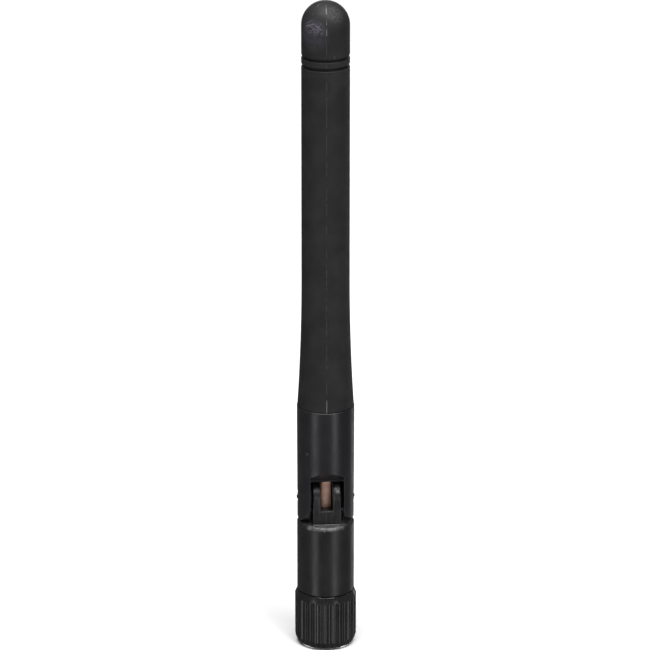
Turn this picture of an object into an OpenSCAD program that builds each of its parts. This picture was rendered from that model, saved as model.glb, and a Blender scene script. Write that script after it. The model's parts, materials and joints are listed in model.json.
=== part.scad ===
// Articulated whip antenna: a moulded radome on a tilting fork, a swivel barrel and a ribbed coupling nut.
// Millimetres. The origin is the centre of the nut's mouth, +Z runs along the antenna and the hinge
// opens towards -Y. The antenna folds forwards, about an axis along X.

/* [Overall] */
// Length from the nut's mouth to the tip of the radome
total_h = 108; // [104:0.5:112]

/* [Radome] */
// Radius of the straight, upper part of the radome
tip_r = 3.8; // [3.75:0.01:3.85]
// Radius where the flare begins
waist_r = 3.83; // [3.80:0.01:3.86]
// Radius at the radome's lower edge
flare_r = 4.55; // [4.50:0.01:4.60]
// Height of the lower edge
radome_z = 41.3; // [41:0.1:42]
// Height where the flare runs out into the straight part
waist_z = 63; // [61:0.5:65]
// Radius of the bore that the dipole hangs in
radome_bore_r = 2.7; // [2.65:0.01:2.75]
// Depth of the two fine grooves under the tip
tip_groove_d = 0.3; // [0.15:0.05:0.35]

/* [Hinge] */
// Height of the hinge axis
pivot_z = 25.4; // [25.3:0.1:25.5]
// Radius of the fork's arms about the hinge axis
arm_r = 3.8; // [3.7:0.05:3.8]
// Radius of the fork's body at its top
yoke_r = 4.625; // [4.60:0.005:4.65]
// Width of the fork's slot
slot_w = 5.4; // [5.3:0.05:5.5]
// Width of the tongue
tongue_w = 4.5; // [4.4:0.05:4.6]
// Radius of the tongue's ears about the hinge axis
ear_r = 3.0; // [2.9:0.05:3.0]
// Width of the gap between the two ears
window_w = 2.0; // [1.9:0.05:2.1]
// Radius of the stub trunnions
trunnion_r = 1.2; // [1.1:0.05:1.3]
// Radial clearance of a trunnion in its arm
hinge_gap = 0.05; // [0.02:0.01:0.09]

/* [Barrel] */
// Radius of the swivel barrel
barrel_r = 4.625; // [4.60:0.005:4.65]
// Height of the barrel's lower face
barrel_z = 9.4; // [9.4:0.1:9.5]
// Height of the barrel's top face
deck_z = 21.5; // [21.4:0.05:21.5]
// Radius of the barrel's round edges
edge_r = 0.55; // [0.3:0.05:0.6]

/* [Grip] */
// Radius over the grip's ribs
grip_r = 5.0; // [4.9:0.05:5.1]
// Height of the grip
grip_h = 9.3; // [9.2:0.05:9.3]
// Number of ribs
rib_count = 30; // [24:2:36]
// Radius of the groove between two ribs
groove_r = 0.22; // [0.15:0.01:0.25]

/* [Connector] */
// Radius of the coupling nut's thread, at its crests
thread_r = 2.82; // [2.80:0.01:2.86]
// Height of the reference plane, where the outer conductor ends
ref_z = 3.3; // [3.3:0.05:3.4]
// Radius of the connector body inside the nut
body_r = 2.95; // [2.9:0.01:2.97]
// Clearance of parts that turn on the connector body
turn_gap = 0.05; // [0.02:0.01:0.08]
// Radius of the socket in the centre contact
socket_r = 0.48; // [0.46:0.01:0.50]

/* [Cable] */
// Radius of the cable's jacket
jacket_r = 0.9; // [0.88:0.01:0.92]
// Outer radius of the braid
braid_r = 0.64; // [0.62:0.01:0.65]
// Outer radius of the dielectric
core_r = 0.42; // [0.41:0.01:0.43]
// Radius of the inner conductor
wire_r = 0.155; // [0.15:0.005:0.16]

/* [Dipole] */
// Height of the feed point, at the top of the brass sleeve
feed_z = 73; // [72:0.5:74]
// Length of the brass sleeve
sleeve_h = 26; // [25:0.5:26.5]
// Length of the radiator above the feed
radiator_h = 26; // [25:0.5:26.5]
// Outer radius of the brass sleeve
sleeve_r = 2.3; // [2.2:0.05:2.3]

/* [Hidden] */

$fn = 72;
// Shadow gap between two parts that only lie near each other
skin = 0.02;
// Overshoot of a cutting shape past the face it cuts
cut = 1;
black = [0.07, 0.07, 0.075];
brass = [0.80, 0.64, 0.30];
white = [0.93, 0.92, 0.90];
silver = [0.78, 0.78, 0.80];
tan_brown = [0.60, 0.42, 0.33];
rubber_red = [0.75, 0.25, 0.18];
foam_grey = [0.35, 0.36, 0.38];

// Radome
dome_z = total_h - tip_r;
tip_groove_w = 0.5;
tip_groove_drop = 9;
tip_groove_step = 1.4;
tip_groove_high_z = total_h - tip_groove_drop;
tip_groove_z = [tip_groove_high_z - tip_groove_step, tip_groove_high_z];
// The flare is an arc that is tangent to the straight part and ends on the lower edge
flare_h = waist_z - radome_z;
flare_out = flare_r - waist_r;
flare_arc_r = (flare_h * flare_h + flare_out * flare_out) / (2 * flare_out);
flare_steps = 12;
bore_dome_drop = 0.7;
bore_top_z = dome_z - bore_dome_drop;
// Spigot of the fork, and the seat that it fills in the radome
spigot_r = 3.3;
spigot_h = 5;
barb_r = 3.45;
barb_h = 1.4;
barb_low_z = radome_z + 1;
barb_high_z = radome_z + 3;
spigot_lead = 0.2;
seat_r = 3.5;
seat_h = 5.2;
// The radome's bore narrows gently above the seat
seat_taper_h = 1.2;

// Fork
yoke_foot_r = 4.575;
yoke_foot_z = pivot_z - arm_r;
collar_chamfer = 0.15;
// The arms taper a little at their feet
foot_taper_w = 0.25;
foot_taper_h = 0.65;
ceiling_rise = 3.45;
ceiling_z = pivot_z + ceiling_rise;
ear_gap = 0.15;
back_wall_y = ear_r + ear_gap;
// The lintel's front is cut back, so that the barrel's rim passes under it when the antenna is folded
lintel_back_y = -2.7;
lintel_lip_h = 0.35;
lintel_rise = 1.7;
lintel_top_z = ceiling_z + lintel_lip_h + lintel_rise;
lintel_run = 1.9;
arm_flat_x = 4.15;
arm_end_chamfer = 0.45;
yoke_cavity_r = 2.3;
yoke_cavity_z = 33;
cable_hole_r = 1.15;
cable_flare_r = 1.6;
cable_flare_h = 1.0;

// Barrel
web_drop = 1.6;
web_z = pivot_z - web_drop;
boss_r = 1.9;
boss_gap = 0.1;
// The trunnions end just under the arms' outside, and a small moulding pip stands proud on each
trunnion_end_x = 4.5;
trunnion_bevel = 0.25;
pip_r = 0.3;
pip_tip_r = 0.15;
pip_end_x = 4.7;
barrel_cavity_r = 3.05;
barrel_cavity_top_z = 18.6;
barrel_lip_r = 2.6;
barrel_lip_h = 0.9;
barrel_hole_r = 1.1;

// Grip and coupling nut
nut_r = 3.9;
nut_h = 7.7;
grip_foot_r = 4.2;
grip_foot_h = 1.35;
foot_flare_w = 0.45;
foot_flare_h = 0.35;
foot_bulge_in = 0.12;
foot_bulge_z = 0.85;
grip_top_r = 4.65;
grip_shoulder_z = 8.45;
shoulder_in = 0.1;
shoulder_rise = 0.15;
grip_lip_r = 3.45;
rib_foot_z = 0.85;
// The ribs on the mould's parting line, front and back, are wider by this turn on each side
wide_rib_turn = 2.1;
rib_top_z = 8.3;
mouth_chamfer = 0.35;
thread_end_z = 3.2;
relief_r = 3.2;
relief_end_z = 5.95;
ring_z = 6.5;
ring_slot_h = 0.6;
ring_slot_r = 3.35;
ring_h = 0.5;
ring_in_r = 2.62;
ring_out_r = 3.3;
ring_cut_w = 0.8;

// Connector body
outer_conductor_r = 2.29;
bead_r = 2.06;
bead_end_z = 8.8;
flange_z = 5.9;
ring_groove_r = 2.57;
swivel_foot_z = 8.3;
swivel_foot_r = 3.3;
swivel_neck_r = barrel_lip_r - turn_gap;
swivel_collar_r = barrel_cavity_r - turn_gap;
axial_gap = 0.1;
neck_z = barrel_z - axial_gap;
collar_z = barrel_z + barrel_lip_h + axial_gap;
collar_h = 1.6;
stem_z = collar_z + collar_h;
stem_r = 0.66;
stem_hole_r = 0.44;
stem_end_z = 16;
gasket_z = 5.3;
gasket_in_r = 2.32;
gasket_out_r = 3.1;
contact_r = 0.635;
contact_end_z = 8.6;
socket_end_z = 5.6;
socket_slit_end_z = 5.2;
contact_cup_z = 7.2;
socket_slit_w = 0.1;
ferrule_r = 1.4;
ferrule_end_z = 17.6;
braid_flare_r = 0.84;

// Cable: the stretch between the two joins is the one that bends in the hinge
join_low_z = 22.6;
join_rise = 1;
join_high_z = ceiling_z + join_rise;
end_gap = 0.1;
braid_start_z = stem_z + end_gap;
jacket_start_z = stem_end_z + end_gap;
core_start_z = bead_end_z + end_gap / 2;
wire_start_z = contact_cup_z + 2 * end_gap;
// Lengths that are stripped at the upper end: the jacket below the solder, and the core at the tip
jacket_strip_h = 0.6;
core_strip_h = 1;

// Dipole
sleeve_wall = 0.2;
sleeve_z = feed_z - sleeve_h;
solder_h = 0.6;
shrink_wall = 0.18;
shrink_reach = 5;
shrink_low_z = feed_z - shrink_reach;
shrink_high_z = feed_z + shrink_reach;
shrink_cone_h = 1.4;
spacer_h = 2.8;
spacer_z = sleeve_z + 0.2;
foam_z = feed_z + 19;
foam_h = 6;

// A tube about the Z axis, from z0 to z1
module tube(r_out, r_in, z0, z1) {
  translate([0, 0, z0])
    difference() {
      cylinder(r = r_out, h = z1 - z0);
      translate([0, 0, -cut]) cylinder(r = r_in, h = z1 - z0 + 2 * cut);
    }
}

// A solid of revolution whose outline is a list of [radius, height] points
module turned(outline) {
  rotate_extrude() polygon(outline);
}

// A cylinder about an axis along X, at the hinge's height
module on_pivot(r, x0, x1) {
  translate([x0, 0, pivot_z]) rotate([0, 90, 0]) cylinder(r = r, h = x1 - x0);
}

// Radome ------------------------------------------------------------------------------------------

function flare_radius(z) =
  waist_r + flare_arc_r - sqrt(flare_arc_r * flare_arc_r - (waist_z - z) * (waist_z - z));

function flare_point(i) =
  let (z = radome_z + flare_h * i / flare_steps) [flare_radius(z), z];

module radome_outside() {
  turned(concat(
    [[0, radome_z]],
    [for (i = [0 : flare_steps]) flare_point(i)],
    [[tip_r, dome_z], [0, dome_z]]
  ));
  translate([0, 0, dome_z]) sphere(r = tip_r);
}

module radome_inside() {
  seat_end_z = radome_z + seat_h;
  turned([
    [0, radome_z - cut], [seat_r, radome_z - cut], [seat_r, seat_end_z],
    [radome_bore_r, seat_end_z + seat_taper_h], [radome_bore_r, bore_top_z], [0, bore_top_z]
  ]);
  translate([0, 0, bore_top_z]) sphere(r = radome_bore_r);
}

module radome() {
  color(black)
    difference() {
      radome_outside();
      radome_inside();
      for (z = tip_groove_z)
        tube(tip_r + cut, tip_r - tip_groove_d, z, z + tip_groove_w);
    }
}

// Fork --------------------------------------------------------------------------------------------

module yoke_blank() {
  turned([
    [0, yoke_foot_z], [yoke_foot_r - foot_taper_w, yoke_foot_z], [yoke_foot_r, yoke_foot_z + foot_taper_h],
    [yoke_r, radome_z - collar_chamfer],
    [yoke_r - collar_chamfer, radome_z], [0, radome_z]
  ]);
}

// The shape that rounds the arms' front ends about the hinge axis, with a bevelled outer edge
module arm_envelope() {
  bevel_w = yoke_r - arm_flat_x;
  translate([0, 0, pivot_z])
    rotate([0, 90, 0]) {
      translate([0, 0, -arm_flat_x]) cylinder(r = arm_r, h = 2 * arm_flat_x);
      for (side = [0, 180])
        rotate([side, 0, 0])
          translate([0, 0, arm_flat_x])
            cylinder(r1 = arm_r, r2 = arm_r - arm_end_chamfer, h = bevel_w);
    }
  // Behind the hinge axis the arms stay square, and stop the fork when it stands upright
  translate([-yoke_r, 0, yoke_foot_z]) cube([2 * yoke_r, yoke_r, arm_r]);
  translate([-yoke_r, -yoke_r, pivot_z]) cube([2 * yoke_r, 2 * yoke_r, radome_z - pivot_z]);
}

module fork_slot() {
  translate([-slot_w / 2, -yoke_r - cut, yoke_foot_z - cut])
    cube([slot_w, yoke_r + cut + back_wall_y, ceiling_z - yoke_foot_z + cut]);
}

module lintel_bevel() {
  translate([slot_w / 2, 0, 0])
    rotate([0, -90, 0])
      linear_extrude(height = slot_w)
        polygon([
          [ceiling_z - cut, lintel_back_y],
          [ceiling_z + lintel_lip_h, lintel_back_y],
          [lintel_top_z, lintel_back_y - lintel_run],
          [lintel_top_z, -yoke_r - cut],
          [ceiling_z - cut, -yoke_r - cut]
        ]);
}

module spigot() {
  spigot_end_z = radome_z + spigot_h;
  turned([
    [0, radome_z - cut], [spigot_r, radome_z - cut], [spigot_r, barb_low_z], [barb_r, barb_low_z],
    [spigot_r, barb_low_z + barb_h], [spigot_r, barb_high_z], [barb_r, barb_high_z],
    [spigot_r, barb_high_z + barb_h], [spigot_r - spigot_lead, spigot_end_z], [0, spigot_end_z]
  ]);
}

module hinge_yoke() {
  color(black)
    difference() {
      union() {
        intersection() {
          yoke_blank();
          arm_envelope();
        }
        spigot();
      }
      fork_slot();
      lintel_bevel();
      on_pivot(trunnion_r + hinge_gap, -yoke_r - cut, yoke_r + cut);
      translate([0, 0, ceiling_z - cut])
        cylinder(r = cable_hole_r, h = yoke_cavity_z - ceiling_z + 2 * cut);
      translate([0, 0, ceiling_z])
        cylinder(r1 = cable_flare_r, r2 = cable_hole_r, h = cable_flare_h);
      translate([0, 0, yoke_cavity_z])
        cylinder(r = yoke_cavity_r, h = radome_z + spigot_h - yoke_cavity_z + cut);
    }
}

// Swivel barrel -----------------------------------------------------------------------------------

module barrel_drum() {
  translate([0, 0, barrel_z])
    rotate_extrude()
      difference() {
        square([barrel_r, deck_z - barrel_z]);
        translate([barrel_r - edge_r, deck_z - barrel_z - edge_r])
          difference() {
            square(edge_r + cut);
            circle(r = edge_r);
          }
        translate([barrel_r, 0]) rotate(45) square(edge_r * sqrt(2) / 2, center = true);
      }
}

module tongue() {
  translate([-tongue_w / 2, -ear_r, deck_z - cut])
    cube([tongue_w, 2 * ear_r, pivot_z - deck_z + cut]);
  on_pivot(ear_r, -tongue_w / 2, tongue_w / 2);
  on_pivot(boss_r, -slot_w / 2 + boss_gap, slot_w / 2 - boss_gap);
  for (side = [-90, 90])
    translate([0, 0, pivot_z]) rotate([0, side, 0]) trunnion();
}

// A stub from the tongue's middle to the outside of one arm, with a bevelled end and its pip
module trunnion() {
  turned([
    [0, 0], [trunnion_r, 0], [trunnion_r, trunnion_end_x - trunnion_bevel],
    [trunnion_r - trunnion_bevel, trunnion_end_x], [pip_r, trunnion_end_x], [pip_tip_r, pip_end_x],
    [0, pip_end_x]
  ]);
}

module hinge_barrel() {
  color(black)
    difference() {
      union() {
        barrel_drum();
        tongue();
      }
      translate([-window_w / 2, -barrel_r, web_z]) cube([window_w, 2 * barrel_r, 2 * barrel_r]);
      translate([0, 0, barrel_z - cut]) cylinder(r = barrel_lip_r, h = barrel_lip_h + 2 * cut);
      translate([0, 0, barrel_z + barrel_lip_h])
        cylinder(r = barrel_cavity_r, h = barrel_cavity_top_z - barrel_z - barrel_lip_h);
      translate([0, 0, barrel_cavity_top_z - cut])
        cylinder(r = barrel_hole_r, h = web_z - barrel_cavity_top_z + 2 * cut);
    }
}

// Grip and coupling nut ---------------------------------------------------------------------------

module grip_blank() {
  turned([
    [0, 0], [grip_foot_r, 0], [grip_foot_r + foot_flare_w, foot_flare_h],
    [grip_r - foot_bulge_in, foot_bulge_z], [grip_r, grip_foot_h], [grip_r, grip_shoulder_z],
    [grip_r - shoulder_in, grip_shoulder_z + shoulder_rise], [grip_top_r, grip_h], [0, grip_h]
  ]);
}

// The turn of a groove, counted round from the front
function groove_turn(i) =
  let (
    half_count = rib_count / 2,
    place = i % half_count,
    shift = place == 0 ? wide_rib_turn : place == half_count - 1 ? -wide_rib_turn : 0
  ) 360 * (i + 0.5) / rib_count + shift;

module rib_grooves() {
  for (i = [0 : rib_count - 1])
    rotate(groove_turn(i) - 90)
      translate([grip_r + skin, 0, rib_foot_z])
        cylinder(r = groove_r, h = rib_top_z - rib_foot_z, $fn = 16);
}

module grip_sleeve() {
  color(black)
    difference() {
      grip_blank();
      rib_grooves();
      translate([0, 0, -cut]) cylinder(r = nut_r, h = nut_h + cut);
      translate([0, 0, -cut]) cylinder(r = grip_lip_r, h = grip_h + 2 * cut);
    }
}

module coupling_nut() {
  color(brass)
    difference() {
      cylinder(r = nut_r - skin, h = nut_h);
      turned([
        [0, -cut], [thread_r + mouth_chamfer, -cut], [thread_r + mouth_chamfer, 0],
        [thread_r, mouth_chamfer], [thread_r, thread_end_z], [relief_r, thread_end_z],
        [relief_r, relief_end_z], [body_r + turn_gap, relief_end_z], [body_r + turn_gap, ring_z],
        [ring_slot_r, ring_z], [ring_slot_r, ring_z + ring_slot_h],
        [body_r + turn_gap, ring_z + ring_slot_h], [body_r + turn_gap, nut_h + cut], [0, nut_h + cut]
      ]);
    }
}

module nut_snap_ring() {
  ring_low_z = ring_z + (ring_slot_h - ring_h) / 2;
  color(silver)
    difference() {
      tube(ring_out_r, ring_in_r, ring_low_z, ring_low_z + ring_h);
      translate([-ring_cut_w / 2, 0, ring_z - cut]) cube([ring_cut_w, ring_out_r + cut, 2 * cut + ring_h]);
    }
}

// Connector ---------------------------------------------------------------------------------------

module sealing_gasket() {
  color(rubber_red) tube(gasket_out_r, gasket_in_r, gasket_z, flange_z);
}

module connector_body() {
  color(brass)
    difference() {
      turned([
        [0, ref_z], [outer_conductor_r, ref_z], [outer_conductor_r, flange_z], [body_r, flange_z],
        [body_r, ring_z], [ring_groove_r, ring_z], [ring_groove_r, ring_z + ring_slot_h],
        [body_r, ring_z + ring_slot_h], [body_r, swivel_foot_z], [swivel_foot_r, swivel_foot_z],
        [swivel_foot_r, neck_z], [swivel_neck_r, neck_z], [swivel_neck_r, collar_z],
        [swivel_collar_r, collar_z], [swivel_neck_r, stem_z], [stem_r, stem_z],
        [stem_r, stem_end_z], [0, stem_end_z]
      ]);
      translate([0, 0, ref_z - cut]) cylinder(r = bead_r, h = bead_end_z - ref_z + cut);
      cylinder(r = stem_hole_r, h = stem_end_z + cut);
    }
}

module ptfe_insulator() {
  color(white) tube(bead_r - skin, contact_r + skin, ref_z, bead_end_z);
}

module centre_contact() {
  color(brass)
    difference() {
      translate([0, 0, ref_z]) cylinder(r = contact_r, h = contact_end_z - ref_z);
      translate([0, 0, ref_z - cut]) cylinder(r = socket_r, h = socket_end_z - ref_z + cut);
      translate([0, 0, contact_cup_z]) cylinder(r = wire_r + skin, h = contact_end_z);
      for (turn = [45, 135])
        rotate(turn)
          translate([-cut, -socket_slit_w / 2, ref_z - cut])
            cube([2 * cut, socket_slit_w, socket_slit_end_z - ref_z + cut]);
    }
}

module crimp_ferrule() {
  color(brass)
    difference() {
      tube(ferrule_r, braid_flare_r + skin, stem_z + skin, ferrule_end_z);
      translate([0, 0, jacket_start_z - skin]) cylinder(r = jacket_r + skin, h = ferrule_end_z);
    }
}

// Cable -------------------------------------------------------------------------------------------

module coax_jacket_lower() {
  color(tan_brown) tube(jacket_r, braid_r, jacket_start_z, join_low_z);
}

// The braid is spread over the stem and runs on under the jacket
module coax_braid_lower() {
  color(silver)
    turned([
      [stem_r + skin, braid_start_z], [braid_flare_r, braid_start_z],
      [braid_flare_r, stem_end_z], [braid_r - skin, jacket_start_z], [braid_r - skin, join_low_z],
      [core_r + skin, join_low_z], [core_r + skin, jacket_start_z + end_gap], [stem_r + skin, stem_end_z]
    ]);
}

module coax_dielectric_lower() {
  color(white) tube(core_r, wire_r + skin / 2, core_start_z, join_low_z);
}

module coax_conductor_lower() {
  color(silver) translate([0, 0, wire_start_z]) cylinder(r = wire_r, h = join_low_z - wire_start_z);
}

module coax_hinge_span() {
  color(tan_brown) translate([0, 0, join_low_z]) cylinder(r = jacket_r, h = join_high_z - join_low_z);
}

module coax_jacket_upper() {
  color(tan_brown) tube(jacket_r, braid_r, join_high_z, feed_z - solder_h - jacket_strip_h);
}

module coax_braid_upper() {
  color(silver) tube(braid_r - skin, core_r + skin, join_high_z, feed_z);
}

module coax_dielectric_upper() {
  color(white) tube(core_r, wire_r + skin / 2, join_high_z, feed_z + radiator_h - core_strip_h);
}

module coax_conductor_upper() {
  color(silver)
    translate([0, 0, join_high_z]) cylinder(r = wire_r, h = feed_z + radiator_h - join_high_z);
}

// Dipole ------------------------------------------------------------------------------------------

module dipole_sleeve() {
  color(brass) tube(sleeve_r, sleeve_r - sleeve_wall, sleeve_z, feed_z);
}

module feed_solder_joint() {
  color(silver) tube(sleeve_r - sleeve_wall - skin, braid_r, feed_z - solder_h, feed_z);
}

module feed_heat_shrink() {
  inside_r = sleeve_r + skin;
  neck_r = core_r + skin;
  color(black)
    turned([
      [inside_r, shrink_low_z], [inside_r, feed_z + skin], [neck_r, feed_z + shrink_cone_h],
      [neck_r, shrink_high_z], [neck_r + shrink_wall, shrink_high_z],
      [neck_r + shrink_wall, feed_z + shrink_cone_h + shrink_wall],
      [inside_r + shrink_wall, feed_z + shrink_wall], [inside_r + shrink_wall, shrink_low_z]
    ]);
}

module sleeve_spacer() {
  color(white)
    tube(sleeve_r - sleeve_wall - skin, jacket_r + skin, spacer_z, spacer_z + spacer_h);
}

module tip_foam() {
  color(foam_grey) tube(radome_bore_r - skin, core_r + skin, foam_z, foam_z + foam_h);
}

radome();
hinge_yoke();
hinge_barrel();
grip_sleeve();
coupling_nut();
nut_snap_ring();
sealing_gasket();
connector_body();
ptfe_insulator();
centre_contact();
crimp_ferrule();
coax_jacket_lower();
coax_braid_lower();
coax_dielectric_lower();
coax_conductor_lower();
coax_hinge_span();
coax_jacket_upper();
coax_braid_upper();
coax_dielectric_upper();
coax_conductor_upper();
dipole_sleeve();
feed_solder_joint();
feed_heat_shrink();
sleeve_spacer();
tip_foam();
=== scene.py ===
import json
import math

import bmesh
import bpy
from mathutils import Matrix, Vector


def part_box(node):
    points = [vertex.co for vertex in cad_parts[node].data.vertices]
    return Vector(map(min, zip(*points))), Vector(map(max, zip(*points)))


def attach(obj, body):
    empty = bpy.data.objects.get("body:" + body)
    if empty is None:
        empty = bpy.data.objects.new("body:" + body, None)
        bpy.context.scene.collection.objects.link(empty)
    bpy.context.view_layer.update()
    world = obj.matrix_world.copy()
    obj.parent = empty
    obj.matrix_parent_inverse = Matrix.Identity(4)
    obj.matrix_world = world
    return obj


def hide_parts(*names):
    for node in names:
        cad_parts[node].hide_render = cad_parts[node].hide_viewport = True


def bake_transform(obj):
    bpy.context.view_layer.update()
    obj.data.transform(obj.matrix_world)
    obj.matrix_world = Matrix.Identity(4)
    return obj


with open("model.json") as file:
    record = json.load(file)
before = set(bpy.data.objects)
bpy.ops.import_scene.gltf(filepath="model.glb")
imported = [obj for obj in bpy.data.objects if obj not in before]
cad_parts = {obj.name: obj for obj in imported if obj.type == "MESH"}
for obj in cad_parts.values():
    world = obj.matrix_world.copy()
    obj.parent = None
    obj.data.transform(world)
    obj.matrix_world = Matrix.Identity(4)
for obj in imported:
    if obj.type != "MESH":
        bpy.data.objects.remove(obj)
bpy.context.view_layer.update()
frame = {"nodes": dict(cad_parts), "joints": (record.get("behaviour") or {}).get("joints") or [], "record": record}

# Every length is in metres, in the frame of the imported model: +Z runs up the antenna and -Y is its front.
MM = 0.001
TAU = 2 * math.pi

JOINTS = {joint["name"]: joint for joint in frame["joints"]}
PIVOT_Z = JOINTS["fold"]["pos_m"][2]
RADOME_LOW, RADOME_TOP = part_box("radome")
YOKE_LOW, YOKE_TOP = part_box("hinge_yoke")
BARREL_LOW, BARREL_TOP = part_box("hinge_barrel")
GRIP_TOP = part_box("grip_sleeve")[1]
NUT_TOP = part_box("coupling_nut")[1]
SPAN_LOW, SPAN_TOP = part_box("coax_hinge_span")
THREAD = next(m for m in frame["record"]["mounts"] if m["name"] == "connector_thread")

# The camera: its place round the antenna, its height and its pitch
CAMERA_TURN = math.radians(-4.5)
CAMERA_BACK = 559 * MM
CAMERA_HEIGHT = 256 * MM
CAMERA_PITCH = math.radians(19.8)
CAMERA_LENS = 206.6
CAMERA_SHIFT = -0.0009

# Radome
TIP_R = 3.8 * MM
WAIST_R = 3.83 * MM
WAIST_Z = 63 * MM
RADOME_Z = RADOME_LOW.z
RADOME_FOOT_R = RADOME_TOP.x
RADOME_BORE_R = 2.7 * MM
RADOME_SEAT_R = 3.5 * MM
RADOME_SEAT_TOP = RADOME_Z + 5.2 * MM
TIP_GROOVES = (RADOME_TOP.z - 8.75 * MM, RADOME_TOP.z - 10.15 * MM)
TIP_GROOVE_WIDTH = 0.5 * MM
TIP_GROOVE_DEPTH = 0.3 * MM
SEAM_TURN = math.radians(-2)
SEAM_HALF_WIDTH = 0.09 * MM
SEAM_STEP = 0.03 * MM

# Fork
ARM_R = PIVOT_Z - YOKE_LOW.z
YOKE_R = YOKE_TOP.x
YOKE_FOOT_R = 4.575 * MM
SLOT_HALF = 2.7 * MM
SLOT_BACK_Y = 3.15 * MM
CEILING_Z = PIVOT_Z + 3.45 * MM
LINTEL_BACK_Y = -2.7 * MM
LINTEL_LIP = 0.35 * MM
LINTEL_RUN = 1.9 * MM
LINTEL_RISE = 1.7 * MM
ARM_FLAT_X = 4.15 * MM
ARM_BEVEL = 0.45 * MM
TRUNNION_R = 1.2 * MM
TRUNNION_HOLE_R = 1.25 * MM
TRUNNION_END_X = 4.5 * MM
PIP_R = 0.3 * MM
CABLE_HOLE_R = 1.15 * MM

# Barrel
BARREL_R = BARREL_TOP.y
DECK_Z = 21.5 * MM
EAR_R = 3.0 * MM
TONGUE_HALF = 2.25 * MM
WINDOW_HALF = 1.0 * MM
WEB_DROP = 1.6 * MM
WEB_Z = PIVOT_Z - WEB_DROP
BOSS_R = 1.9 * MM

# Grip and nut
GRIP_R = GRIP_TOP.x
RIB_COUNT = 30
RIB_DEPTH = 0.2 * MM
WIDE_RIB_SPREAD = math.radians(2.1)
RIB_LOW_Z = 0.85 * MM
RIB_HIGH_Z = 8.3 * MM
NUT_BORE_R = 3.0 * MM
THREAD_R = THREAD["dims"]["r_mm"] * MM
THREAD_PITCH = 25.4 / 36 * MM
THREAD_TOP = THREAD["dims"]["length_mm"] * MM + THREAD["pos_m"][2]

# Cable
JACKET_R = SPAN_TOP.x


# Mesh helpers --------------------------------------------------------------------------------------


def add_object(name, bm):
    """Turns a bmesh into a smooth-shaded object."""
    bmesh.ops.recalc_face_normals(bm, faces=bm.faces)
    mesh = bpy.data.meshes.new(name)
    bm.to_mesh(mesh)
    bm.free()
    mesh.shade_smooth()
    obj = bpy.data.objects.new(name, mesh)
    bpy.context.scene.collection.objects.link(obj)
    return obj


def rounded(corners, steps=5):
    """An outline of (r, z) points from (r, z, corner radius). The corners between its ends become arcs."""
    outline = []
    for i, (r, z, radius) in enumerate(corners):
        here = Vector((r, z))
        if radius == 0 or i in (0, len(corners) - 1):
            outline.append(here)
            continue
        back = Vector(corners[i - 1][:2]) - here
        ahead = Vector(corners[i + 1][:2]) - here
        half = back.angle(ahead) / 2
        reach = min(radius / math.tan(half), 0.49 * back.length, 0.49 * ahead.length)
        middle = (back.normalized() + ahead.normalized()).normalized()
        centre = here + middle * reach / math.cos(half)
        first = here + back.normalized() * reach - centre
        last = here + ahead.normalized() * reach - centre
        for k in range(steps + 1):
            share = k / steps
            spoke = first.lerp(last, share)
            outline.append(centre + spoke.normalized() * first.length)
    return outline


def ring_point(radius, turn, z):
    """A point on a ring about the antenna's axis. Turn 0 faces the front, a quarter turn faces +X."""
    return radius * math.sin(turn), -radius * math.cos(turn), z


def lathe(name, outline, columns, relief=None, closed=False):
    """A solid of revolution. relief(turn, r, z) is a height added to the radius."""
    bm = bmesh.new()
    rings = []
    for r, z in outline:
        if r < 1e-7:
            rings.append([bm.verts.new((0, 0, z))] * columns)
            continue
        ring = []
        for k in range(columns):
            turn = TAU * k / columns
            radius = r + (relief(turn, r, z) if relief else 0)
            ring.append(bm.verts.new(ring_point(radius, turn, z)))
        rings.append(ring)
    pairs = list(zip(rings, rings[1:]))
    if closed:
        pairs.append((rings[-1], rings[0]))
    for low, high in pairs:
        for k in range(columns):
            n = (k + 1) % columns
            corners = [low[k], low[n], high[n], high[k]]
            corners = [v for i, v in enumerate(corners) if v not in corners[:i]]
            if len(corners) > 2:
                bm.faces.new(corners)
    return add_object(name, bm)


def block(name, low, high):
    """A box from its lowest to its highest corner, used only to cut other shapes."""
    bm = bmesh.new()
    bmesh.ops.create_cube(bm, size=1)
    size = Vector(high) - Vector(low)
    middle = (Vector(high) + Vector(low)) / 2
    place = Matrix.Translation(middle) @ Matrix.Diagonal(size).to_4x4()
    bmesh.ops.transform(bm, matrix=place, verts=bm.verts)
    return add_object(name, bm)


def on_hinge_axis(name, outline, columns=192):
    """A solid of revolution about the hinge axis, whose outline is a list of (r, x) points."""
    obj = lathe(name, outline, columns)
    lay_down = Matrix.Rotation(math.radians(90), 4, "Y")
    obj.data.transform(Matrix.Translation((0, 0, PIVOT_Z)) @ lay_down)
    return obj


def prism_across(name, outline, half_width):
    """A prism along X, whose outline is a list of (y, z) points."""
    bm = bmesh.new()
    left = [bm.verts.new((-half_width, y, z)) for y, z in outline]
    right = [bm.verts.new((half_width, y, z)) for y, z in outline]
    bm.faces.new(left)
    bm.faces.new(right[::-1])
    for i in range(len(outline)):
        n = (i + 1) % len(outline)
        bm.faces.new([left[i], right[i], right[n], left[n]])
    return add_object(name, bm)


def settle(obj):
    """Applies the object's modifiers to its mesh."""
    graph = bpy.context.evaluated_depsgraph_get()
    mesh = bpy.data.meshes.new_from_object(obj.evaluated_get(graph))
    obj.modifiers.clear()
    obj.data = mesh
    return obj


def combine(obj, tool, operation):
    """obj joined with, cut by or limited to the tool, which is used up."""
    step = obj.modifiers.new("combine", "BOOLEAN")
    step.object = tool
    step.operation = operation
    step.solver = "EXACT"
    settle(obj)
    bpy.data.objects.remove(tool)
    return obj


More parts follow.
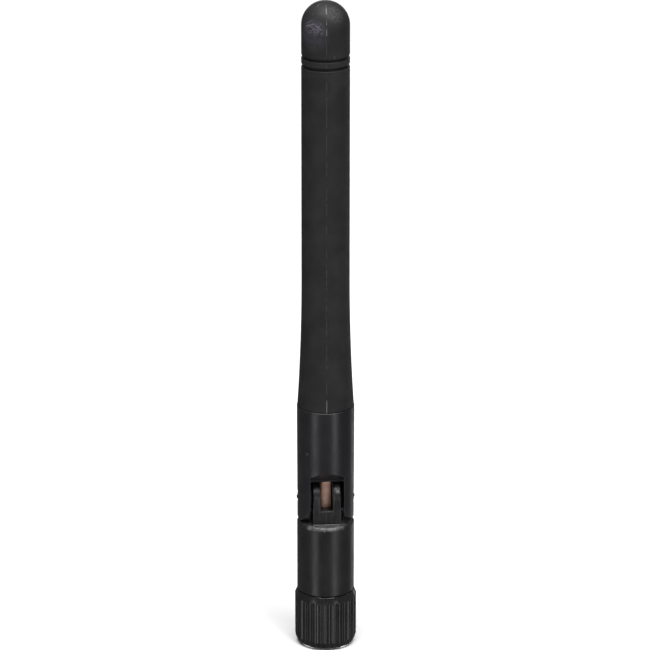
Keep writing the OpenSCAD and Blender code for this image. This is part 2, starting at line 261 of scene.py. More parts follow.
def soften(obj, grid, passes):
    """Moulded edges: the shape is meshed again on a fine grid, and its corners are eased."""
    remesh = obj.modifiers.new("remesh", "REMESH")
    remesh.mode = "VOXEL"
    remesh.voxel_size = grid
    ease = obj.modifiers.new("ease", "SMOOTH")
    ease.factor = 0.5
    ease.iterations = passes
    settle(obj)
    obj.data.shade_smooth()
    return obj


def true_up(obj, radius_at):
    """Draws the outer wall back to its exact radius, where the grid has left it slightly uneven."""
    reach = 0.05 * MM
    for vertex in obj.data.vertices:
        x, y, z = vertex.co
        r = math.hypot(x, y)
        gap = radius_at(z) - r
        share = max(0, 1 - abs(gap) / reach)
        pull = (r + gap * min(1, 2 * share)) / max(r, 1e-6)
        vertex.co.x = x * pull
        vertex.co.y = y * pull
    return obj


def weigh_normals(obj):
    """Lets large faces set the shading beside small fillets."""
    weights = obj.modifiers.new("normals", "WEIGHTED_NORMAL")
    weights.keep_sharp = True
    return obj


# Materials -----------------------------------------------------------------------------------------


class Surface:
    """A Principled material, with short ways to add the nodes that vary it."""

    def __init__(self, name, **sockets):
        self.material = bpy.data.materials.new(name)
        self.material.use_nodes = True
        self.tree = self.material.node_tree
        self.shader = self.tree.nodes["Principled BSDF"]
        for socket, value in sockets.items():
            self.shader.inputs[socket.replace("_", " ")].default_value = value
        place = self.tree.nodes.new("ShaderNodeTexCoord")
        self.place = place.outputs["Object"]

    def join(self, output, target):
        self.tree.links.new(output, target)

    def stretched(self, scale):
        """The object's own coordinates, in metres, stretched along each axis."""
        node = self.tree.nodes.new("ShaderNodeMapping")
        node.inputs["Scale"].default_value = scale
        self.join(self.place, node.inputs["Vector"])
        return node.outputs["Vector"]

    def noise(self, scale, detail=3, roughness=0.55, place=None, distortion=0.0):
        node = self.tree.nodes.new("ShaderNodeTexNoise")
        node.inputs["Scale"].default_value = scale
        node.inputs["Detail"].default_value = detail
        node.inputs["Roughness"].default_value = roughness
        node.inputs["Distortion"].default_value = distortion
        self.join(place or self.place, node.inputs["Vector"])
        return node.outputs["Fac"]

    def ramp(self, value, low, high, bottom=0.0, top=1.0):
        """Carries value from low..high to bottom..top, and holds it there outside."""
        node = self.tree.nodes.new("ShaderNodeMapRange")
        node.interpolation_type = "SMOOTHSTEP"
        node.inputs["From Min"].default_value = low
        node.inputs["From Max"].default_value = high
        node.inputs["To Min"].default_value = bottom
        node.inputs["To Max"].default_value = top
        self.join(value, node.inputs["Value"])
        return node.outputs["Result"]

    def math(self, kind, a, b):
        node = self.tree.nodes.new("ShaderNodeMath")
        node.operation = kind
        for socket, value in zip(node.inputs, (a, b)):
            if isinstance(value, (int, float)):
                socket.default_value = value
            else:
                self.join(value, socket)
        return node.outputs["Value"]

    def mix(self, share, a, b):
        """A blend of two colours. Each is a colour or the output of another blend."""
        node = self.tree.nodes.new("ShaderNodeMix")
        node.data_type = "RGBA"
        self.join(share, node.inputs["Factor"])
        for socket, value in ((node.inputs[6], a), (node.inputs[7], b)):
            if isinstance(value, tuple):
                socket.default_value = (*value, 1)
            else:
                self.join(value, socket)
        return node.outputs[2]

    def worn_edges(self, low, high):
        """1 on sharp outer edges and 0 elsewhere."""
        node = self.tree.nodes.new("ShaderNodeNewGeometry")
        return self.ramp(node.outputs["Pointiness"], low, high)

    def near(self, point, radius):
        """1 at a point, falling to 0 at a radius."""
        node = self.tree.nodes.new("ShaderNodeVectorMath")
        node.operation = "DISTANCE"
        self.join(self.place, node.inputs[0])
        node.inputs[1].default_value = point
        return self.ramp(node.outputs["Value"], radius * 0.2, radius, 1.0, 0.0)

    def height(self, low, high):
        """0 below low and 1 above high, along the antenna."""
        node = self.tree.nodes.new("ShaderNodeSeparateXYZ")
        self.join(self.place, node.inputs["Vector"])
        return self.ramp(node.outputs["Z"], low, high)

    def between(self, low, high, soft):
        """1 between two heights and 0 outside them."""
        under = self.ramp(self.height(high, high + soft), 0, 1, 1, 0)
        return self.math("MULTIPLY", self.height(low - soft, low), under)

    def along_plane(self, turn, half_width, solid=0.4):
        """1 on the upright plane through the axis at a turn from the front, and 0 beyond half a width."""
        node = self.tree.nodes.new("ShaderNodeVectorMath")
        node.operation = "DOT_PRODUCT"
        self.join(self.place, node.inputs[0])
        node.inputs[1].default_value = (math.cos(turn), math.sin(turn), 0)
        away = self.math("ABSOLUTE", node.outputs["Value"], 0.0)
        return self.ramp(away, half_width * solid, half_width, 1.0, 0.0)

    def bump(self, height, distance, strength=1.0, under=None):
        node = self.tree.nodes.new("ShaderNodeBump")
        node.inputs["Strength"].default_value = strength
        node.inputs["Distance"].default_value = distance
        self.join(height, node.inputs["Height"])
        if under:
            self.join(under, node.inputs["Normal"])
        return node.outputs["Normal"]

    def finish(self, color=None, roughness=None, normal=None):
        for socket, value in (("Base Color", color), ("Roughness", roughness), ("Normal", normal)):
            if value is not None:
                self.join(value, self.shader.inputs[socket])
        return self.material


def moulded_black(name, dark, light, rough, grain, grain_depth, gleam=0.5):
    """Black moulded plastic: spark-eroded grain, patches of gloss, fine rubs and dusty edges that show wear."""
    dust = (0.11, 0.105, 0.115)
    s = Surface(name, IOR=1.46, Specular_IOR_Level=gleam)
    tone = s.noise(260, detail=4)
    color = s.mix(s.ramp(tone, 0.35, 0.65), dark, light)
    rubs = s.noise(2600, detail=4, roughness=0.7, place=s.stretched((1.5, 1.5, 0.5)))
    rub_mask = s.ramp(rubs, 0.62, 0.80, 0.0, 0.05)
    color = s.mix(rub_mask, color, dust)
    edge_mask = s.math("MULTIPLY", s.worn_edges(0.55, 0.63), s.ramp(s.noise(900), 0.4, 0.62, 0.0, 0.5))
    color = s.mix(edge_mask, color, dust)
    gloss = s.ramp(s.noise(420, detail=5), 0.3, 0.7, rough - 0.05, rough + 0.06)
    gloss = s.math("ADD", gloss, s.math("MULTIPLY", rub_mask, 0.2))
    fine = s.noise(grain, detail=2, roughness=0.6)
    wavy = s.noise(grain / 14, detail=2)
    normal = s.bump(fine, grain_depth, under=s.bump(wavy, grain_depth * 1.5))
    return s, color, gloss, normal


def radome_plastic():
    s, color, gloss, normal = moulded_black(
        "radome_matte_black", (0.0105, 0.0105, 0.011), (0.0145, 0.0145, 0.015), 0.60, 14000, 0.004 * MM,
        gleam=0.22)
    # Painted highlight: paler dashes along the mould's parting line stand in for its glint, strongest on the tip
    dashes = s.ramp(s.noise(700, detail=3, place=s.stretched((0.05, 0.05, 1))), 0.46, 0.54)
    seam_highlight = s.math("MULTIPLY", s.along_plane(SEAM_TURN, 0.11 * MM), dashes)
    on_tip = s.ramp(s.height(RADOME_TOP.z - 7 * MM, RADOME_TOP.z - 4 * MM), 0, 1, 0.08, 0.55)
    on_foot = s.ramp(s.height(RADOME_Z + 1.5 * MM, RADOME_Z + 4 * MM), 0, 1, 0.45, 0.0)
    seam_highlight = s.math("MULTIPLY", seam_highlight, s.math("MAXIMUM", on_tip, on_foot))
    color = s.mix(seam_highlight, color, (0.15, 0.15, 0.15))
    # Dusty scuffs on the left of the tip, in a violet haze, and on its right a paler patch that is a painted
    # highlight, standing in for a reflection
    streaks = s.noise(2300, detail=5, roughness=0.7, distortion=0.8, place=s.stretched((0.75, 0.75, 1.7)))
    patches = (
        ((-2.7, -2.9, 3.4), 1.5, (0.42, 0.60), 0.60, (0.17, 0.155, 0.20)),
        ((-1.5, -3.6, 3.6), 1.4, (0.42, 0.60), 0.55, (0.15, 0.140, 0.175)),
        ((-2.3, -2.9, 4.6), 3.4, (0.30, 0.62), 0.45, (0.055, 0.050, 0.070)),
        # Painted highlight: this paler patch stands in for a reflection on the right of the tip
        ((1.2, -2.6, 1.6), 2.0, (0.38, 0.64), 0.34, (0.085, 0.085, 0.082)),
    )
    for (x, y, drop), reach, (low, high), strength, tint in patches:
        spot = s.near((x * MM, y * MM, RADOME_TOP.z - drop * MM), reach * MM)
        scuff = s.math("MULTIPLY", spot, s.ramp(streaks, low, high, 0.0, strength))
        color = s.mix(scuff, color, tint)
        gloss = s.math("ADD", gloss, s.math("MULTIPLY", scuff, 0.2))
    # Painted shade: the two grooves get a darker colour that stands in for the shade in them
    for middle in TIP_GROOVES:
        half = TIP_GROOVE_WIDTH / 2
        color = s.mix(s.between(middle - half, middle + half, 0.02 * MM), color, (0.008, 0.008, 0.008))
    return s.finish(color, gloss, normal)


def hinge_plastic():
    s, color, gloss, normal = moulded_black(
        "hinge_satin_black", (0.0062, 0.0058, 0.0075), (0.0092, 0.0088, 0.0108), 0.34, 11000, 0.002 * MM)
    return s.finish(color, gloss, normal)


def barrel_plastic():
    s, color, gloss, normal = moulded_black(
        "barrel_satin_black", (0.006, 0.006, 0.0065), (0.009, 0.009, 0.0095), 0.33, 11000, 0.002 * MM)
    # Fine upright draw marks on the tongue, left by the mould
    marks = s.noise(3400, detail=3, roughness=0.75, place=s.stretched((1.5, 1.5, 0.06)))
    on_tongue = s.math(
        "MULTIPLY", s.height(DECK_Z, DECK_Z + 0.3 * MM), s.along_plane(0, TONGUE_HALF + 0.2 * MM, solid=0.95))
    drawn = s.math("MULTIPLY", s.ramp(marks, 0.52, 0.60, 0.0, 0.8), on_tongue)
    color = s.mix(drawn, color, (0.028, 0.028, 0.028))
    normal = s.bump(s.math("MULTIPLY", marks, on_tongue), 0.03 * MM, under=normal)
    # Painted light over scratches: paler scratched marks paint the highlight along the deck's front edge over its
    # real scratches and burrs, the highlights on the tops of the ears, and light on the deck in the shade under
    # the arms
    scratches = s.noise(3800, detail=4, roughness=0.7, place=s.stretched((0.7, 0.7, 1.6)))
    # Painted highlight over real scratches and burrs: a paler band along the front of the deck's edge, on the side
    # facing the camera, broken at the parting line
    lip_highlight_and_wear = s.math(
        "MULTIPLY", s.between(DECK_Z - 0.55 * MM, DECK_Z - 0.08 * MM, 0.12 * MM),
        s.along_plane(CAMERA_TURN, 3.1 * MM, solid=0.9))
    split = s.along_plane(SEAM_TURN, 0.12 * MM)
    lip_highlight_and_wear = s.math("MULTIPLY", lip_highlight_and_wear, s.ramp(split, 0, 1, 1, 0))
    # Painted highlights: paler patches on the tops of the ears, stronger on the right
    right_ear_highlight = s.near((1.80 * MM, -2.0 * MM, PIVOT_Z + 1.75 * MM), 0.95 * MM)
    left_ear_highlight = s.math("MULTIPLY", s.near((-1.80 * MM, -2.0 * MM, PIVOT_Z + 1.6 * MM), 0.9 * MM), 0.3)
    # Painted light: a paler deck stands in for light in the shade under the arms
    painted_deck_light = s.between(DECK_Z - 0.06 * MM, DECK_Z + 0.06 * MM, 0.03 * MM)
    # Each painted mark gets a paler colour in a scratch pattern, slightly rougher gloss and scratch bumps
    for painted_mark, tint in ((painted_deck_light, 0.07), (lip_highlight_and_wear, 0.085), (right_ear_highlight, 0.50), (left_ear_highlight, 0.35)):
        share = s.math("MULTIPLY", painted_mark, s.ramp(scratches, 0.42, 0.56, 0.0, 0.8))
        color = s.mix(share, color, (tint, tint, tint * 1.03))
        gloss = s.math("ADD", gloss, s.math("MULTIPLY", painted_mark, 0.08))
        normal = s.bump(s.math("MULTIPLY", scratches, painted_mark), 0.04 * MM, under=normal)
    return s.finish(color, gloss, normal)


def grip_plastic():
    s, color, gloss, normal = moulded_black(
        "grip_satin_black", (0.006, 0.006, 0.0065), (0.009, 0.009, 0.0095), 0.16, 10000, 0.002 * MM)
    return s.finish(color, gloss, normal)


def turned_metal(name, dark, light, rough):
    """Turned and plated metal: fine rings left by the tool, and duller patches."""
    s = Surface(name, Metallic=1.0)
    rings = s.noise(900, detail=4, roughness=0.7, place=s.stretched((0.04, 0.04, 8)))
    patches = s.noise(700, detail=4)
    color = s.mix(s.ramp(patches, 0.35, 0.7), dark, light)
    gloss = s.ramp(s.noise(1600, detail=3), 0.3, 0.7, rough - 0.06, rough + 0.12)
    return s.finish(color, gloss, s.bump(rings, 0.002 * MM, strength=0.6))


def cable_jacket():
    """Brown fluoropolymer jacket: smooth, slightly waxy, with a trace of the braid under it."""
    s = Surface("jacket_brown_fep", IOR=1.42, Coat_Weight=0.35, Coat_Roughness=0.22)
    tone = s.noise(700, detail=4)
    color = s.mix(s.ramp(tone, 0.35, 0.68), (0.50, 0.30, 0.225), (0.66, 0.42, 0.33))
    gloss = s.ramp(s.noise(1800), 0.3, 0.7, 0.26, 0.40)
    weave = s.noise(5200, detail=2, place=s.stretched((1, 1, 0.8)))
    return s.finish(color, gloss, s.bump(weave, 0.012 * MM))


def woven_braid():
    s = Surface("braid_silver_wire", Metallic=1.0)
    wires = s.noise(9000, detail=2, place=s.stretched((1, 1, 0.35)))
    color = s.mix(s.ramp(wires, 0.35, 0.65), (0.48, 0.47, 0.46), (0.82, 0.81, 0.79))
    return s.finish(color, s.ramp(wires, 0.3, 0.7, 0.42, 0.24), s.bump(wires, 0.03 * MM))


def waxy_polymer(name, dark, light, rough):
    """Pale polymer with a faint cloudiness."""
    s = Surface(name, IOR=1.36, Subsurface_Weight=0.15, Subsurface_Scale=0.4 * MM)
    color = s.mix(s.ramp(s.noise(900, detail=4), 0.3, 0.7), dark, light)
    gloss = s.ramp(s.noise(1500, detail=3), 0.3, 0.7, rough - 0.05, rough + 0.07)
    return s.finish(color, gloss, s.bump(s.noise(6000, detail=2), 0.006 * MM))


def soft_rubber(name, dark, light):
    s = Surface(name, IOR=1.42)
    color = s.mix(s.ramp(s.noise(1100, detail=4), 0.3, 0.7), dark, light)
    gloss = s.ramp(s.noise(2100), 0.3, 0.7, 0.48, 0.66)
    return s.finish(color, gloss, s.bump(s.noise(7000, detail=3), 0.01 * MM))


def open_foam():
    s = Surface("foam_grey", IOR=1.4, Sheen_Weight=0.3)
    cells = s.tree.nodes.new("ShaderNodeTexVoronoi")
    cells.inputs["Scale"].default_value = 3000
    s.join(s.place, cells.inputs["Vector"])
    pores = cells.outputs["Distance"]
    color = s.mix(s.ramp(pores, 0.1, 0.6), (0.05, 0.05, 0.055), (0.16, 0.165, 0.175))
    return s.finish(color, s.ramp(s.noise(900), 0.3, 0.7, 0.82, 0.96), s.bump(pores, 0.15 * MM))


def floor_paint():
    s = Surface("floor_pale", IOR=1.3)
    color = s.mix(s.ramp(s.noise(6, detail=3), 0.3, 0.7), (0.60, 0.60, 0.605), (0.63, 0.63, 0.63))
    return s.finish(color, s.ramp(s.noise(30, detail=3), 0.3, 0.7, 0.75, 0.85))


# Pieces --------------------------------------------------------------------------------------------


def flare_radius(z):
    """The radome's flare is an arc that meets the straight part smoothly and ends on the lower edge."""
    height = WAIST_Z - RADOME_Z
    spread = RADOME_FOOT_R - WAIST_R
    arc = (height * height + spread * spread) / (2 * spread)
    return WAIST_R + arc - math.sqrt(arc * arc - (WAIST_Z - z) ** 2)


def groove_dip(z):
    """Depth of the two fine grooves under the tip, with rounded lips."""
    dip = 0.0
    for middle in TIP_GROOVES:
        away = abs(z - middle) / (TIP_GROOVE_WIDTH / 2)
        if away < 1.15:
            dip = max(dip, TIP_GROOVE_DEPTH * min(1, 4 * (1.15 - away)))
    return dip


def parting_line(turn, r, z):
    """The fine groove where the two halves of the mould met, front and back."""
    front = math.remainder(turn - SEAM_TURN, TAU)
    back = math.remainder(turn - SEAM_TURN - math.pi, TAU)
    away = min(abs(front), abs(back))
    across = away * r / SEAM_HALF_WIDTH
    if across > 2 or r < RADOME_BORE_R or z > RADOME_TOP.z - TIP_R * 0.12:
        return 0.0
    return -SEAM_STEP * math.exp(-across * across)


def make_radome():
    lip = 0.18 * MM
    rows = 90
    dome_rows = 20
    break_r = 0.05 * MM
    outline = [Vector((RADOME_SEAT_R, RADOME_Z + break_r)), Vector((RADOME_SEAT_R + break_r, RADOME_Z))]
    outline += [Vector((RADOME_FOOT_R - lip, RADOME_Z))]
    outline += [Vector((RADOME_FOOT_R - 0.03 * MM, RADOME_Z + 0.04 * MM))]
    outline += [Vector((flare_radius(z), z)) for z in spaced(RADOME_Z + lip, WAIST_Z, rows)]
    groove_low = TIP_GROOVES[1] - TIP_GROOVE_WIDTH
    groove_high = TIP_GROOVES[0] + TIP_GROOVE_WIDTH
    dome_z = RADOME_TOP.z - TIP_R
    taper = lambda z: WAIST_R + (TIP_R - WAIST_R) * (z - WAIST_Z) / (dome_z - WAIST_Z)
    outline += [Vector((taper(z), z)) for z in spaced(WAIST_Z, groove_low, rows)[1:]]
    outline += [Vector((taper(z) - groove_dip(z), z)) for z in spaced(groove_low, groove_high, 64)[1:]]
    outline += [Vector((taper(z), z)) for z in spaced(groove_high, dome_z, 12)[1:-1]]
    for k in range(dome_rows + 1):
        lift = TAU / 4 * k / dome_rows
        dome_r = TIP_R * math.cos(lift) if k < dome_rows else 0
        outline.append(Vector((dome_r, dome_z + TIP_R * math.sin(lift))))
    return lathe("radome_cover", outline + radome_bore(dome_z), 480, relief=parting_line)


def radome_bore(dome_z):
    """The outline of the radome's inside, from its closed end down to the seat of the spigot."""
    bore_top = dome_z - 0.7 * MM
    inside = [Vector((0, bore_top + RADOME_BORE_R))]
    inside += [Vector((RADOME_BORE_R * 0.7, bore_top + RADOME_BORE_R * 0.7))]
    inside += [Vector((RADOME_BORE_R, bore_top)), Vector((RADOME_BORE_R, RADOME_SEAT_TOP + 1.2 * MM))]
    inside += [Vector((RADOME_SEAT_R, RADOME_SEAT_TOP)), Vector((RADOME_SEAT_R, RADOME_Z + 0.05 * MM))]
    return inside


def spaced(low, high, count):
    """Evenly spaced values from low to high, ends included."""
    return [low + (high - low) * i / count for i in range(count + 1)]


def arm_envelope():
    """What the fork is limited to: arms rounded about the hinge axis in front, with bevelled outer edges."""
    reach = YOKE_R + 1 * MM
    bevel_x = YOKE_R
    drum = on_hinge_axis("arm_round", [
        (0, -bevel_x), (ARM_R - ARM_BEVEL, -bevel_x), (ARM_R, -ARM_FLAT_X),
        (ARM_R, ARM_FLAT_X), (ARM_R - ARM_BEVEL, bevel_x), (0, bevel_x)])
    heel = block("arm_heel", (-reach, 0.02 * MM, YOKE_LOW.z), (reach, reach, PIVOT_Z + 1 * MM))
    upper = block("arm_upper", (-reach, -reach, PIVOT_Z), (reach, reach, YOKE_TOP.z + 1 * MM))
    return combine(combine(drum, heel, "UNION"), upper, "UNION")


def make_yoke():
    chamfer = 0.07 * MM
    spigot_r = 3.3 * MM
    past = 2 * MM
    taper_w = 0.25 * MM
    taper_h = 0.65 * MM
    foot_z = YOKE_LOW.z - 0.01 * MM
    outline = [(0, foot_z), (YOKE_FOOT_R - taper_w, foot_z), (YOKE_FOOT_R, foot_z + taper_h)]
    outline += [(YOKE_R, RADOME_Z - chamfer), (YOKE_R - chamfer, RADOME_Z)]
    outline += [(spigot_r, RADOME_Z), (spigot_r, YOKE_TOP.z), (0, YOKE_TOP.z)]
    obj = lathe("hinge_fork", outline, 256)
    combine(obj, arm_envelope(), "INTERSECT")
    lip_z = CEILING_Z + LINTEL_LIP
    below = YOKE_LOW.z - past
    slot = prism_across("slot", [
        (-YOKE_R - past, below), (SLOT_BACK_Y, below), (SLOT_BACK_Y, CEILING_Z), (LINTEL_BACK_Y, CEILING_Z),
        (LINTEL_BACK_Y, lip_z), (LINTEL_BACK_Y - LINTEL_RUN, lip_z + LINTEL_RISE),
        (-YOKE_R - past, lip_z + LINTEL_RISE)], SLOT_HALF)
    combine(obj, slot, "DIFFERENCE")
    bore = on_hinge_axis("trunnion_bore", pillar(TRUNNION_HOLE_R, -YOKE_R - past, YOKE_R + past), 96)
    combine(obj, bore, "DIFFERENCE")
    flare = 0.45 * MM
    hole = lathe("cable_hole", [
        (0, CEILING_Z - past), (CABLE_HOLE_R + flare, CEILING_Z - past), (CABLE_HOLE_R + flare, CEILING_Z),
        (CABLE_HOLE_R, CEILING_Z + 2 * flare), (CABLE_HOLE_R, YOKE_TOP.z + past), (0, YOKE_TOP.z + past)], 96)
    combine(obj, hole, "DIFFERENCE")
    soften(obj, 0.07 * MM, 3)
    wall_low = foot_z + taper_h
    slope = (YOKE_R - YOKE_FOOT_R) / (RADOME_Z - chamfer - wall_low)
    return true_up(obj, lambda z: YOKE_FOOT_R + slope * (z - wall_low))


def pillar(radius, low, high):
    """The outline of a plain cylinder for a cutting shape."""
    return [(0, low), (radius, low), (radius, high), (0, high)]


def make_barrel():
    edge = 0.55 * MM
    sink = 0.5 * MM
    inner_r = 2.6 * MM
    drum_outline = rounded([
        (inner_r, BARREL_LOW.z, 0), (BARREL_R, BARREL_LOW.z, 0.2 * MM), (BARREL_R, DECK_Z, edge),
        (0, DECK_Z, 0)], 8)
    drum_outline += [Vector((0, BARREL_LOW.z + 9 * MM)), Vector((inner_r, BARREL_LOW.z + 9 * MM))]
    obj = lathe("swivel_barrel", drum_outline, 256, closed=True)
    ear_edge = 0.15 * MM
    tongue = block("tongue", (-TONGUE_HALF, -EAR_R, DECK_Z - sink), (TONGUE_HALF, EAR_R, PIVOT_Z))
    ear = rounded([
        (0, -TONGUE_HALF, 0), (EAR_R, -TONGUE_HALF, ear_edge), (EAR_R, TONGUE_HALF, ear_edge),
        (0, TONGUE_HALF, 0)])
    combine(tongue, on_hinge_axis("ears", ear), "UNION")
    boss_x = SLOT_HALF - 0.1 * MM
    combine(tongue, on_hinge_axis("bosses", pillar(BOSS_R, -boss_x, boss_x), 128), "UNION")
    half = [(TRUNNION_R, 0, 0), (TRUNNION_R, TRUNNION_END_X, 0.25 * MM), (PIP_R, TRUNNION_END_X, 0)]
    half += [(PIP_R, BARREL_TOP.x, 0.18 * MM), (0, BARREL_TOP.x, 0)]
    trunnion_outline = [Vector((p.x, -p.y)) for p in reversed(rounded(half, 4))][:-1] + rounded(half, 4)[1:]
    combine(tongue, on_hinge_axis("trunnions", trunnion_outline, 96), "UNION")
    combine(obj, tongue, "UNION")
    window = block("window", (-WINDOW_HALF, -BARREL_R, WEB_Z), (WINDOW_HALF, BARREL_R, PIVOT_Z + 2 * EAR_R))
    combine(obj, window, "DIFFERENCE")
    hole = lathe("cable_hole", pillar(CABLE_HOLE_R - 0.05 * MM, BARREL_LOW.z + 8 * MM, WEB_Z + 1 * MM), 96)
    combine(obj, hole, "DIFFERENCE")
    soften(obj, 0.07 * MM, 3)
    return true_up(obj, lambda z: BARREL_R)


def rib_relief(turn, r, z):
    """The valleys between the grip's ribs, which run out at both ends."""
    if r < GRIP_R - 0.6 * MM:
        return 0.0
    ease = 0.25 * MM
    fade = min(1, max(0, (z - RIB_LOW_Z) / ease + 0.5)) * min(1, max(0, (RIB_HIGH_Z - z) / ease + 0.5))
    # The rib on the mould's parting line, front and back, is wider than the others
    away = math.remainder(turn, math.pi)
    pitch = TAU / RIB_COUNT
    if abs(away) < pitch / 2 + WIDE_RIB_SPREAD:
        away *= pitch / 2 / (pitch / 2 + WIDE_RIB_SPREAD)
    elif abs(away) < 1.5 * pitch:
        short = (pitch - WIDE_RIB_SPREAD) / pitch
        away = math.copysign(1.5 * pitch - (1.5 * pitch - abs(away)) / short, away)
    wave = abs(math.sin(away * RIB_COUNT / 2))
    return -RIB_DEPTH * fade * wave ** 3.5


def make_grip():
    bore_r = 3.9 * MM
    lip_r = 3.45 * MM
    foot = 4.2 * MM
    shoulder_z = 8.45 * MM
    top_r = 4.65 * MM
    wall = rounded([
        (bore_r, 0, 0), (foot, 0, 0.1 * MM), (foot + 0.45 * MM, 0.35 * MM, 0.3 * MM),
        (GRIP_R, 1.3 * MM, 0.5 * MM), (GRIP_R, shoulder_z, 0.12 * MM),
        (top_r, GRIP_TOP.z, 0.08 * MM), (lip_r, GRIP_TOP.z, 0)], 6)
    low = max(p.y for p in wall if p.x <= GRIP_R and p.y < 2 * MM)
    high = min(p.y for p in wall if p.y > shoulder_z - 1 * MM)
    body = [Vector((GRIP_R, z)) for z in spaced(low, high, 70)[1:-1]]
    split = next(i for i, p in enumerate(wall) if p.y == high)
    outline = wall[:split] + body + wall[split:]
    outline += [Vector((lip_r, NUT_TOP.z)), Vector((bore_r, NUT_TOP.z))]
    return lathe("grip_ring", outline, RIB_COUNT * 16, relief=rib_relief, closed=True)


def thread_relief(turn, r, z):
    """A right-handed thread, cut outwards from its crests."""
    if abs(r - THREAD_R) > 0.01 * MM or not 0.3 * MM < z < THREAD_TOP:
        return 0.0
    depth = 0.33 * MM
    phase = (z / THREAD_PITCH + turn / TAU) % 1
    flank = min(1, max(0, 3.2 * abs(phase - 0.5) - 0.3))
    run_out = min(1, (z - 0.3 * MM) / (0.4 * MM), (THREAD_TOP - z) / (0.15 * MM))
    return depth * flank * max(0, run_out)


def make_nut():
    relief_r = 3.2 * MM
    relief_top = 5.95 * MM
    mouth = THREAD["pos_m"][2]
    outline = [Vector((THREAD_R + mouth, 0))]
    outline += [Vector((THREAD_R, z)) for z in spaced(mouth, THREAD_TOP, 140)]
    outline += [Vector((relief_r, THREAD_TOP + 0.02 * MM)), Vector((relief_r, relief_top))]
    outline += [Vector((NUT_BORE_R, relief_top)), Vector((NUT_BORE_R, NUT_TOP.z))]
    bevel = 0.08 * MM
    outline += [Vector((NUT_TOP.x, NUT_TOP.z)), Vector((NUT_TOP.x, bevel)), Vector((NUT_TOP.x - bevel, 0))]
    return weigh_normals(lathe("nut_with_thread", outline, 180, relief=thread_relief, closed=True))


def make_cable_span():
    """The stretch of cable that bends in the hinge, as a closed tube with many rings."""
    outline = [Vector((0, SPAN_LOW.z))]
    outline += [Vector((JACKET_R, z)) for z in spaced(SPAN_LOW.z, SPAN_TOP.z, 64)]
    outline += [Vector((0, SPAN_TOP.z))]
    return lathe("cable_in_hinge", outline, 48)


# The object ----------------------------------------------------------------------------------------


def dress(obj, material, body, slot, *nodes):
    """Gives a piece its material, the body that it rides on and the CAD nodes that it stands for."""
    obj.data.materials.clear()
    obj.data.materials.append(material)
    if body:
        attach(obj, body)
    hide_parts(*nodes)


def dress_nodes():
    """Materials of the CAD nodes that stay: the connector, the cable and the dipole."""
    brass = turned_metal("body_brass", (0.62, 0.42, 0.16), (0.80, 0.58, 0.26), 0.30)
    gold = turned_metal("contact_gold", (0.75, 0.50, 0.16), (0.90, 0.66, 0.28), 0.22)
    steel = turned_metal("spring_steel", (0.40, 0.40, 0.41), (0.58, 0.58, 0.59), 0.32)
    plated = turned_metal("ferrule_brass", (0.55, 0.40, 0.18), (0.74, 0.56, 0.28), 0.36)
    tube = turned_metal("sleeve_brass", (0.52, 0.35, 0.13), (0.70, 0.49, 0.22), 0.34)
    tin = turned_metal("solder_tin", (0.42, 0.43, 0.44), (0.60, 0.61, 0.62), 0.45)
    wire = turned_metal("wire_silver", (0.60, 0.59, 0.57), (0.82, 0.81, 0.78), 0.28)
    jacket = cable_jacket()
    braid = woven_braid()
    ptfe = waxy_polymer("ptfe_white", (0.74, 0.74, 0.72), (0.84, 0.84, 0.83), 0.42)
    clear = waxy_polymer("dielectric_white", (0.70, 0.70, 0.70), (0.80, 0.80, 0.80), 0.30)
    spacer = waxy_polymer("spacer_white", (0.62, 0.62, 0.60), (0.72, 0.72, 0.70), 0.46)
    silicone = soft_rubber("gasket_silicone", (0.26, 0.045, 0.025), (0.36, 0.07, 0.04))
    shrink = soft_rubber("shrink_black", (0.010, 0.010, 0.010), (0.018, 0.018, 0.018))
    by_node = {
        "connector_body": brass, "centre_contact": gold, "nut_snap_ring": steel, "crimp_ferrule": plated,
        "dipole_sleeve": tube, "feed_solder_joint": tin, "coax_conductor_lower": wire,
        "coax_conductor_upper": wire, "coax_jacket_lower": jacket, "coax_jacket_upper": jacket,
        "coax_braid_lower": braid, "coax_braid_upper": braid, "ptfe_insulator": ptfe,
        "coax_dielectric_lower": clear, "coax_dielectric_upper": clear, "sleeve_spacer": spacer,
        "sealing_gasket": silicone, "feed_heat_shrink": shrink, "tip_foam": open_foam(),
    }
    for name, material in by_node.items():
        for held in frame["nodes"][name].material_slots:
            held.material = material
    return jacket


def build_antenna():
    jacket = dress_nodes()
    dress(make_radome(), radome_plastic(), "whip", "radome_black", "radome")
    dress(make_yoke(), hinge_plastic(), "whip", "hinge_black", "hinge_yoke")
    dress(make_barrel(), barrel_plastic(), "barrel", "hinge_black", "hinge_barrel")
    dress(make_grip(), grip_plastic(), "coupling", "grip_black", "grip_sleeve")
    nut_brass = turned_metal("nut_brass", (0.60, 0.41, 0.16), (0.78, 0.57, 0.26), 0.30)
    dress(make_nut(), nut_brass, "coupling", "nut_brass", "coupling_nut")
    span = make_cable_span()
    dress(span, jacket, None, "jacket_brown", "coax_hinge_span")
    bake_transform(span)


# The studio ----------------------------------------------------------------------------------------


def make_floor():
    half = 3.0
    bm = bmesh.new()
    bmesh.ops.create_grid(bm, x_segments=8, y_segments=8, size=half)
    floor = add_object("floor", bm)
    floor.data.materials.append(floor_paint())
    floor.location.z = -0.02 * MM
    floor.visible_glossy = False
    floor.visible_shadow = False


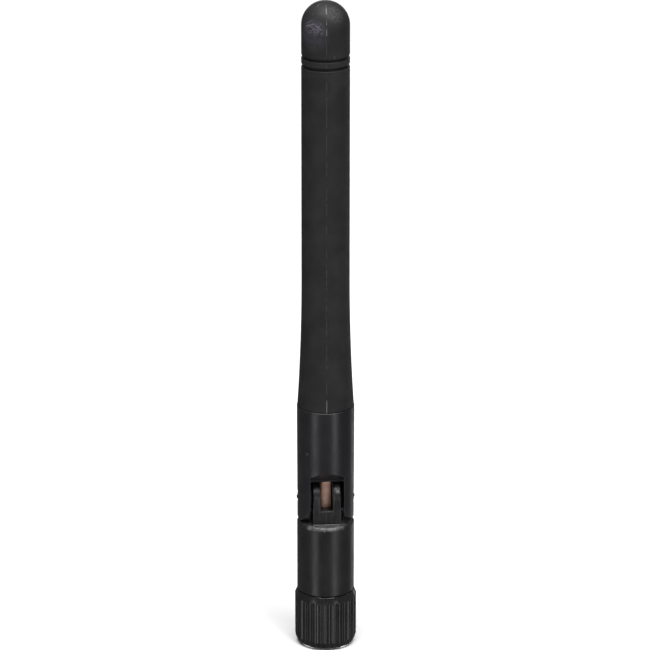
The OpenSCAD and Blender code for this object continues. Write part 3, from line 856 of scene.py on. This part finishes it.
def add_softbox(name, turn, height, distance, size, power):
    """A soft rectangular light. turn is in degrees from the camera's own direction, growing towards +X."""
    angle = math.radians(turn) + CAMERA_TURN
    data = bpy.data.lights.new(name, "AREA")
    data.shape = "RECTANGLE"
    data.size, data.size_y = size
    data.energy = power
    lamp = bpy.data.objects.new(name, data)
    lamp.location = (distance * math.sin(angle), -distance * math.cos(angle), height)
    aim = Vector((0, 0, LIGHT_AIM_Z)) - lamp.location
    lamp.rotation_euler = aim.to_track_quat("-Z", "Y").to_euler()
    bpy.context.scene.collection.objects.link(lamp)


# Name, turn in degrees, height, distance from the axis, size and power
SOFTBOXES = (
    ("low_left", -43, -0.15, 0.9, (0.30, 1.0), 1.6),
    ("low_right", 38, -0.15, 0.9, (0.28, 1.0), 1.6),
    ("mid_right", 36, 0.80, 0.65, (0.25, 0.25), 3.0),
    ("high_left", -42, 1.0, 0.33, (0.30, 0.3), 4.5),
    ("high_right", 38, 1.0, 0.33, (0.30, 0.3), 5.0),
    ("rim_right", 138, -0.20, 0.7, (0.15, 0.5), 0.22),
    ("back", 178, -0.15, 0.9, (0.34, 1.0), 4.5),
    ("front", 4, 0.10, 0.9, (0.12, 0.12), 0.38),
    ("overhead", 0, 1.1, 0.10, (0.9, 0.9), 16.0),
    ("table_glow", 180, -0.80, 0.1, (0.8, 0.8), 1.2),
)
LIGHT_AIM_Z = 0.05
WORLD_STRENGTH = 0.13


def light_studio():
    for row in SOFTBOXES:
        add_softbox(*row)
    world = bpy.data.worlds.new("studio")
    world.use_nodes = True
    sky = world.node_tree.nodes["Background"]
    sky.inputs["Color"].default_value = (1, 1, 1, 1)
    sky.inputs["Strength"].default_value = WORLD_STRENGTH
    bpy.context.scene.world = world
    bpy.context.scene.view_settings.view_transform = "Standard"


def place_camera():
    data = bpy.data.cameras.new("camera")
    data.lens = CAMERA_LENS
    data.clip_start = 0.01
    camera = bpy.data.objects.new("camera", data)
    camera.location = ring_point(CAMERA_BACK, CAMERA_TURN, CAMERA_HEIGHT)
    camera.rotation_euler = (TAU / 4 - CAMERA_PITCH, 0, CAMERA_TURN)
    data.shift_x = CAMERA_SHIFT
    bpy.context.scene.collection.objects.link(camera)
    bpy.context.scene.camera = camera


place_camera()
build_antenna()
make_floor()
light_studio()
